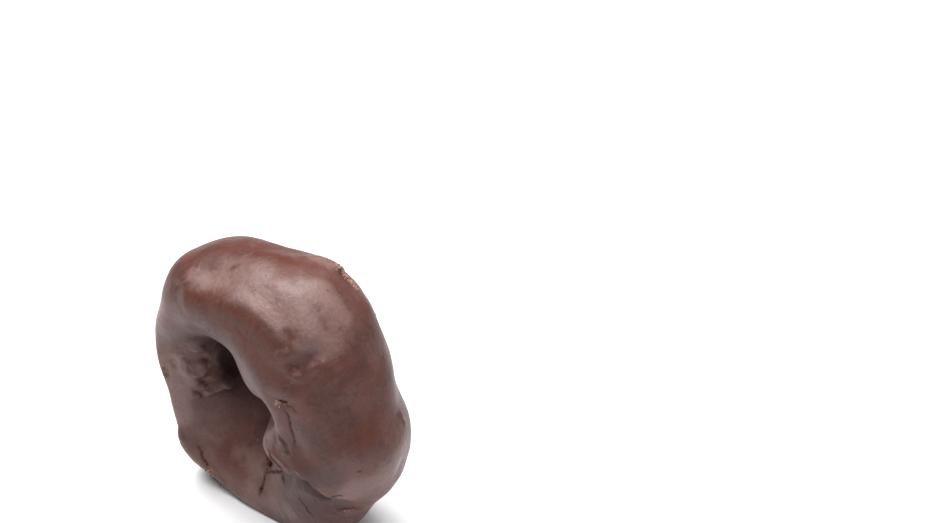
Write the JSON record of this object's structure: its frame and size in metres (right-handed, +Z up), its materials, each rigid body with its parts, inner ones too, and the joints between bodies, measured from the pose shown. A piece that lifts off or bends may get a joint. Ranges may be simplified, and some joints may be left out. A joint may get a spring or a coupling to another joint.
{
  "type": "chocolate doughnut",
  "caption": "Small ring doughnut in a chocolate coating, standing on its flattened edge, with its right side sagging in a fold over the squashed bottom.",
  "frame": {"origin": "middle underneath, on the surface that the doughnut stands on", "axes": "+X to the right of the shown face, +Y away from it along the hole, +Z up"},
  "size_m": [0.0552, 0.0268, 0.0567],
  "materials": {
    "chocolate": "satin chocolate coating with a hazy bloom, pores and chipped spots"
  },
  "bodies": {
    "root": {"doughnut": "chocolate"}
  },
  "joints": []
}
